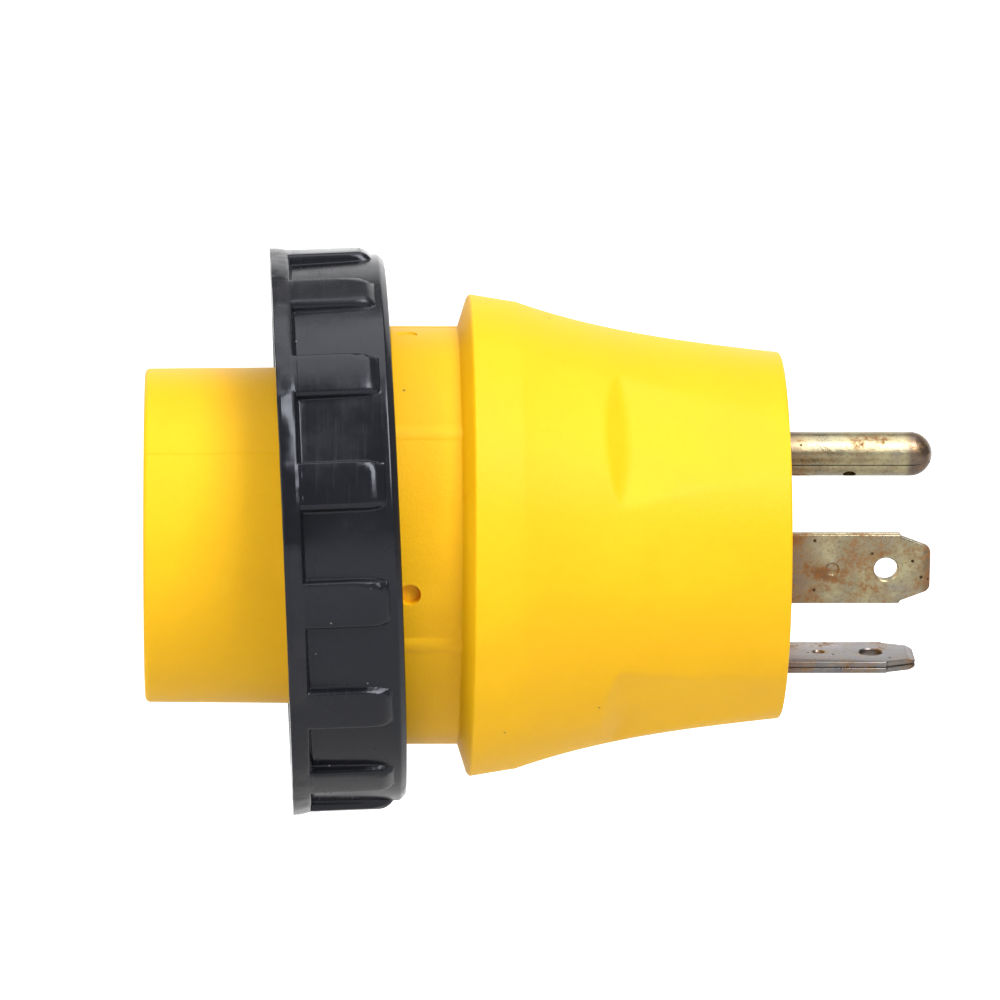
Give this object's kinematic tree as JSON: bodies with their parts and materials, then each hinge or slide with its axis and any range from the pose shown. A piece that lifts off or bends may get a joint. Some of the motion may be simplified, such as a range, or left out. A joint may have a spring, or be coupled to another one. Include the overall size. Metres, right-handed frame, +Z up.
{
  "type": "trailer power plug adapter",
  "caption": "One-piece moulded travel trailer power adapter: three-pin plug to a locking connector with a threaded ring.",
  "frame": {"origin": "centre of the plug face, where the pins come out", "axes": "+X out of the plug face along the pins, +Z up with the object lying on its side, +Y completes the right-handed frame"},
  "size_m": [0.1085, 0.0772, 0.0775],
  "materials": {
    "yellow_body": "satin moulded",
    "insert_plastic": "satin moulded",
    "core_plastic": "matte moulded",
    "plated_steel": "zinc plated, with rust spots",
    "contact_brass": "bare stamped",
    "ring_plastic": "glossy moulded",
    "gasket_rubber": "matte",
    "bare_copper": "bare copper",
    "tinned_crimp": "tinned",
    "black_jacket": "satin",
    "white_jacket": "satin",
    "green_jacket": "satin"
  },
  "bodies": {
    "adapter": {"body_shell": "yellow_body", "socket_housing": "yellow_body", "socket_insert": "insert_plastic", "socket_cover": "core_plastic", "inner_core": "core_plastic", "blade_carrier": "core_plastic", "contact_line": "contact_brass", "contact_neutral": "contact_brass", "contact_ground": "contact_brass", "blade_line": "plated_steel", "blade_neutral": "plated_steel", "ground_pin": "plated_steel", "wire_core_line": "bare_copper", "wire_core_neutral": "bare_copper", "wire_core_ground": "bare_copper", "wire_jacket_line": "black_jacket", "wire_jacket_neutral": "white_jacket", "wire_jacket_ground": "green_jacket", "crimp_socket_line": "tinned_crimp", "crimp_socket_neutral": "tinned_crimp", "crimp_socket_ground": "tinned_crimp", "crimp_plug_line": "tinned_crimp", "crimp_plug_neutral": "tinned_crimp", "crimp_plug_ground": "tinned_crimp"},
    "gasket": {"sealing_gasket": "gasket_rubber"},
    "ring": {"locking_ring": "ring_plastic"}
  },
  "joints": [
    {"name": "ring_slide", "type": "slide", "parent": "adapter", "child": "gasket", "axis": [1, 0, 0], "range_m": [-0.001, 0.0009]},
    {"name": "ring_spin", "type": "hinge", "parent": "gasket", "child": "ring", "pos_m": [-0.06045, 0, 0.0008], "axis": [0.9991, 0, 0.0419], "continuous": true}
  ]
}
